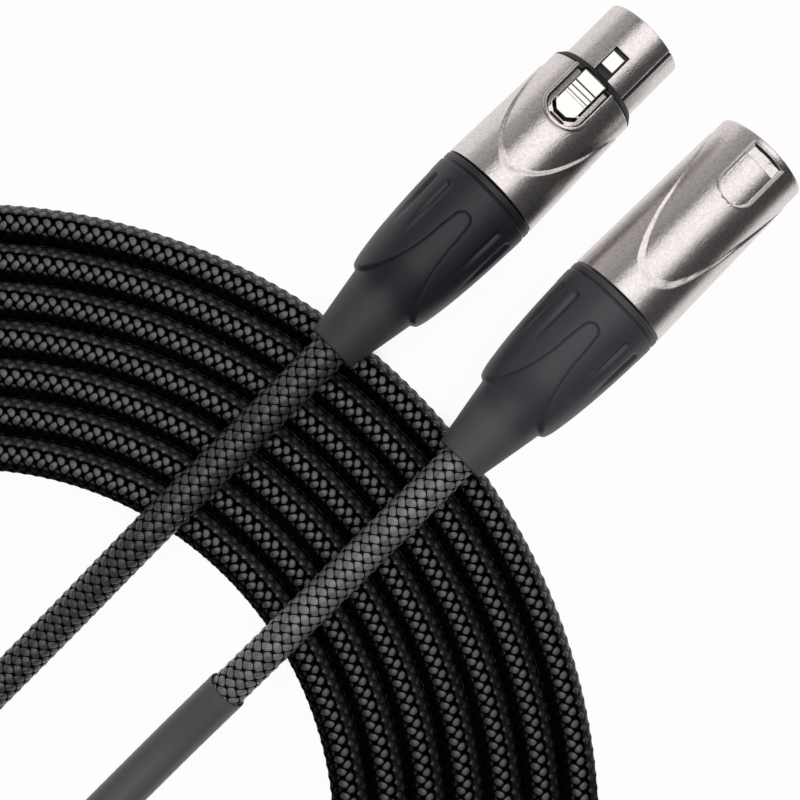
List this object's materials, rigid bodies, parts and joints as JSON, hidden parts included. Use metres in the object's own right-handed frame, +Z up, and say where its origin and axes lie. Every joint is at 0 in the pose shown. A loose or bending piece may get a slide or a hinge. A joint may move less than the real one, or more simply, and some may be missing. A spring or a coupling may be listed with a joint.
{
  "type": "xlr cable coil",
  "caption": "Flat coil of braided microphone cable with a latching female and a male three-pole connector laid side by side over the turns.",
  "frame": {"origin": "on the surface that the coil lies on, under the middle of the two connectors", "axes": "+X the way both connectors point, +Z up, +Y from the male connector to the female one"},
  "size_m": [0.259, 0.2127, 0.0209],
  "materials": {
    "satin_nickel": "satin nickel plating with a fine grain over die-cast zinc",
    "bright_nickel": "bright plated steel",
    "contact_silver": "silver-plated brass",
    "boot_rubber": "matt moulded rubber",
    "seal_rubber": "matt rubber",
    "insulator": "moulded glass-filled plastic",
    "braid": "woven polyester braid over a rubber jacket",
    "heatshrink": "smooth heat-shrink tubing",
    "core_red": "extruded insulation",
    "core_white": "extruded insulation",
    "bare_copper": "twisted bare copper"
  },
  "bodies": {
    "cable": {"cable_coil": "braid", "female_tail": "braid", "male_tail": "braid", "marker_sleeve": "heatshrink", "female_shell": "satin_nickel", "gasket_ring": "seal_rubber", "latch_pin": "bright_nickel", "latch_spring": "bright_nickel", "female_insert": "insulator", "female_chuck": "insulator", "female_boot": "boot_rubber", "female_contact_1": "contact_silver", "female_contact_2": "contact_silver", "female_contact_3": "contact_silver", "female_screen": "bare_copper", "female_core_1": "core_red", "female_core_2": "core_white", "male_shell": "satin_nickel", "male_insert": "insulator", "male_ground_clip": "bright_nickel", "male_chuck": "insulator", "male_boot": "boot_rubber", "male_pin_1": "contact_silver", "male_pin_2": "contact_silver", "male_pin_3": "contact_silver", "male_screen": "bare_copper", "male_core_1": "core_red", "male_core_2": "core_white"},
    "latch": {"latch_lever": "bright_nickel"}
  },
  "joints": [
    {"name": "latch_press", "type": "hinge", "parent": "cable", "child": "latch", "pos_m": [0.01904, 0.0153, 0.01776], "axis": [-0.0016, 0.999, -0.0436], "range_deg": [0, 6.5], "stiffness_Nm_per_rad": 0.06, "springref_deg": -5.73, "deforming": ["latch_spring"]}
  ]
}
